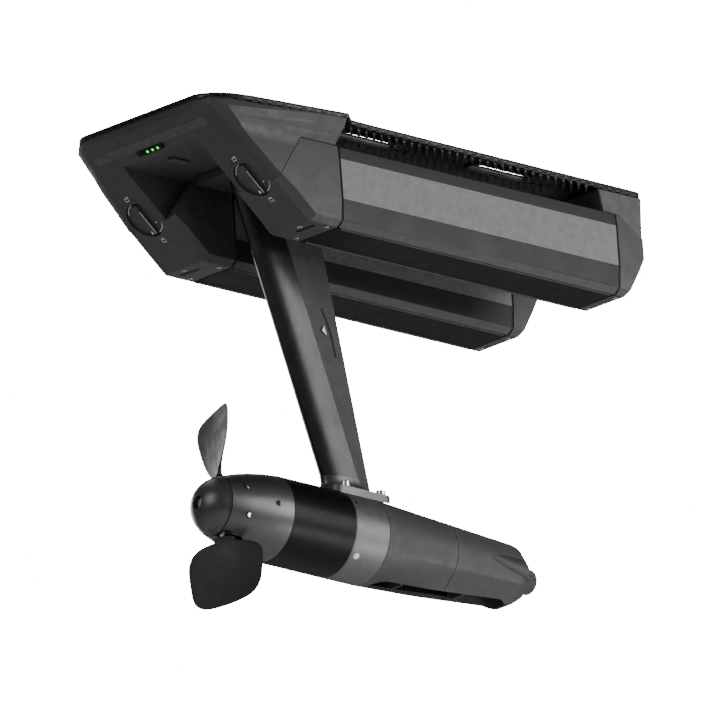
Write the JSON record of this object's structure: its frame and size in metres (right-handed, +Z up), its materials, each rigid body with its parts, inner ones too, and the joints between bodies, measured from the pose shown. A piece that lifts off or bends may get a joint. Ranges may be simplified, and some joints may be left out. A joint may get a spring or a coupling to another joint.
{
  "type": "trolling motor",
  "caption": "Under-board electric drive: ribbed deck frame with two swing-down battery packs, a raked strut and a motor pod with a folding propeller.",
  "frame": {"origin": "centre of the deck pad's top face, which bears on the underside of a board or hull", "axes": "+X from the ramped nose to the tail, +Y to the left, +Z up, out of the deck's top face"},
  "size_m": [0.4685, 0.233, 0.419],
  "materials": {
    "housing": "fine moulded texture",
    "rubber": "ribbed",
    "alloy": "anodised satin",
    "black_gloss": "semi gloss",
    "anodised": "dark anodised satin",
    "steel": "polished",
    "copper": "varnished winding",
    "board": "circuit board",
    "cells": "shrink sleeve",
    "lamp": "lens"
  },
  "bodies": {
    "hull": {"deck_pad": "rubber", "deck_plate": "housing", "nose_housing": "housing", "tail_housing": "housing", "controller_board": "board", "controller_heatsink": "alloy", "status_lamps": "lamp", "mast_column": "anodised", "mast_fairing": "housing", "mast_head": "alloy", "mast_foot": "anodised", "foot_bolt_1": "steel", "foot_bolt_2": "steel", "foot_bolt_3": "steel", "foot_bolt_4": "steel", "phase_cable": "rubber", "motor_can": "black_gloss", "stator": "copper", "front_bearing": "steel", "rear_bearing": "steel", "front_bearing_plate": "alloy", "rear_bearing_plate": "alloy", "mount_ring": "anodised", "tail_shell": "housing", "tail_cap": "housing", "driver_board": "board"},
    "power_button": {"power_button": "rubber"},
    "pack_left": {"pack_shell_left": "alloy", "pack_nose_cap_left": "housing", "pack_tail_cap_left": "housing", "pack_nose_seal_left": "rubber", "pack_tail_seal_left": "rubber", "cell_block_left": "cells", "pack_board_left": "board"},
    "pack_right": {"pack_shell_right": "alloy", "pack_nose_cap_right": "housing", "pack_tail_cap_right": "housing", "pack_nose_seal_right": "rubber", "pack_tail_seal_right": "rubber", "cell_block_right": "cells", "pack_board_right": "board"},
    "dial_left": {"latch_dial_left": "housing", "latch_cam_left": "steel"},
    "dial_right": {"latch_dial_right": "housing", "latch_cam_right": "steel"},
    "propeller": {"prop_hub": "anodised", "spinner": "anodised", "spinner_bolt": "steel", "drive_shaft": "steel", "rotor": "steel", "fold_pin_a": "steel", "fold_pin_b": "steel"},
    "blade_a": {"blade_a": "housing"},
    "blade_b": {"blade_b": "housing"},
    "knob": {"tail_knob": "housing"}
  },
  "joints": [
    {"name": "propeller_spin", "type": "hinge", "parent": "hull", "child": "propeller", "pos_m": [-0.135, 0, -0.33], "axis": [-1, 0, 0], "continuous": true},
    {"name": "blade_a_fold", "type": "hinge", "parent": "propeller", "child": "blade_a", "pos_m": [-0.135, 0.00274, -0.30767], "axis": [0, 0.9925, -0.1219], "range_deg": [0, 10]},
    {"name": "blade_b_fold", "type": "hinge", "parent": "propeller", "child": "blade_b", "pos_m": [-0.135, -0.00274, -0.35233], "axis": [0, -0.9925, 0.1219], "range_deg": [0, 10]},
    {"name": "pack_left_swing", "type": "hinge", "parent": "hull", "child": "pack_left", "pos_m": [0.24, 0.072, -0.0384], "axis": [0, -1, 0], "range_deg": [0, 16]},
    {"name": "pack_right_swing", "type": "hinge", "parent": "hull", "child": "pack_right", "pos_m": [0.24, -0.072, -0.0384], "axis": [0, -1, 0], "range_deg": [0, 16]},
    {"name": "dial_left_turn", "type": "hinge", "parent": "pack_left", "child": "dial_left", "pos_m": [-0.161, 0.0725, -0.06189], "axis": [-0.6266, 0, -0.7793], "range_deg": [0, 90]},
    {"name": "dial_right_turn", "type": "hinge", "parent": "pack_right", "child": "dial_right", "pos_m": [-0.161, -0.0725, -0.06189], "axis": [-0.6266, 0, -0.7793], "range_deg": [0, 90]},
    {"name": "knob_turn", "type": "hinge", "parent": "hull", "child": "knob", "pos_m": [0.185, 0, -0.33], "axis": [1, 0, 0], "continuous": true},
    {"name": "power_press", "type": "slide", "parent": "hull", "child": "power_button", "axis": [0, 0, 1], "range_m": [0, 0.001], "stiffness_N_per_m": 400}
  ]
}
